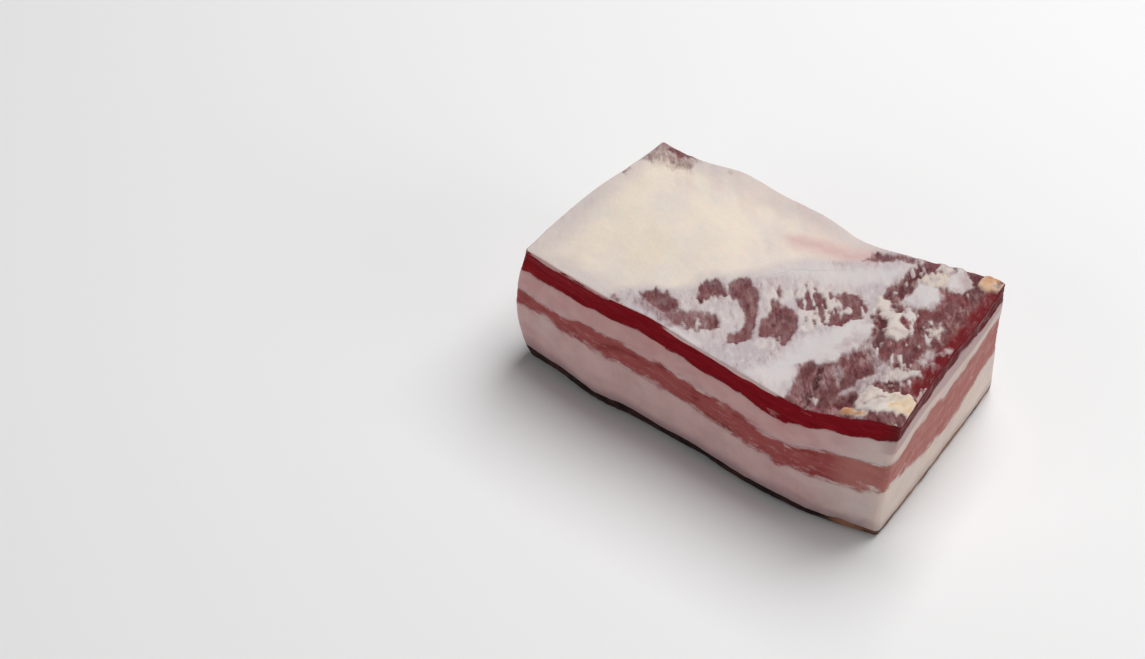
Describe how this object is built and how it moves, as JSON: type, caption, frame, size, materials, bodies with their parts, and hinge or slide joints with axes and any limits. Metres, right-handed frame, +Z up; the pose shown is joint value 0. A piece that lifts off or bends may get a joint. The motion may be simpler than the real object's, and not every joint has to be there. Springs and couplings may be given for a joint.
{
  "type": "slab pancetta chunk",
  "caption": "Chunk of slab pancetta lying on its rind: cut square, with streaks of fat and lean at its sides and a cream fat cover over part of its marbled top.",
  "frame": {"origin": "on the floor under the middle of the chunk's box", "axes": "+X along the long cut side, towards the cut end that shows; +Y from the long cut side that shows to the one behind; +Z up from the rind to the fat cover"},
  "size_m": [0.1128, 0.0666, 0.0418],
  "materials": {
    "lower_fat": "firm white-pink back fat with dark brown rind under it, satin",
    "lower_lean": "pink-red cured lean, moist satin",
    "upper_fat": "firm white-pink fat, satin",
    "upper_lean": "dark red cured lean with marbled fat, moist",
    "fat_cap": "cream fat cover, soft satin"
  },
  "bodies": {
    "root": {"lower_fat": "lower_fat", "lower_lean": "lower_lean", "upper_fat": "upper_fat", "upper_lean": "upper_lean", "fat_cap": "fat_cap"}
  },
  "joints": []
}
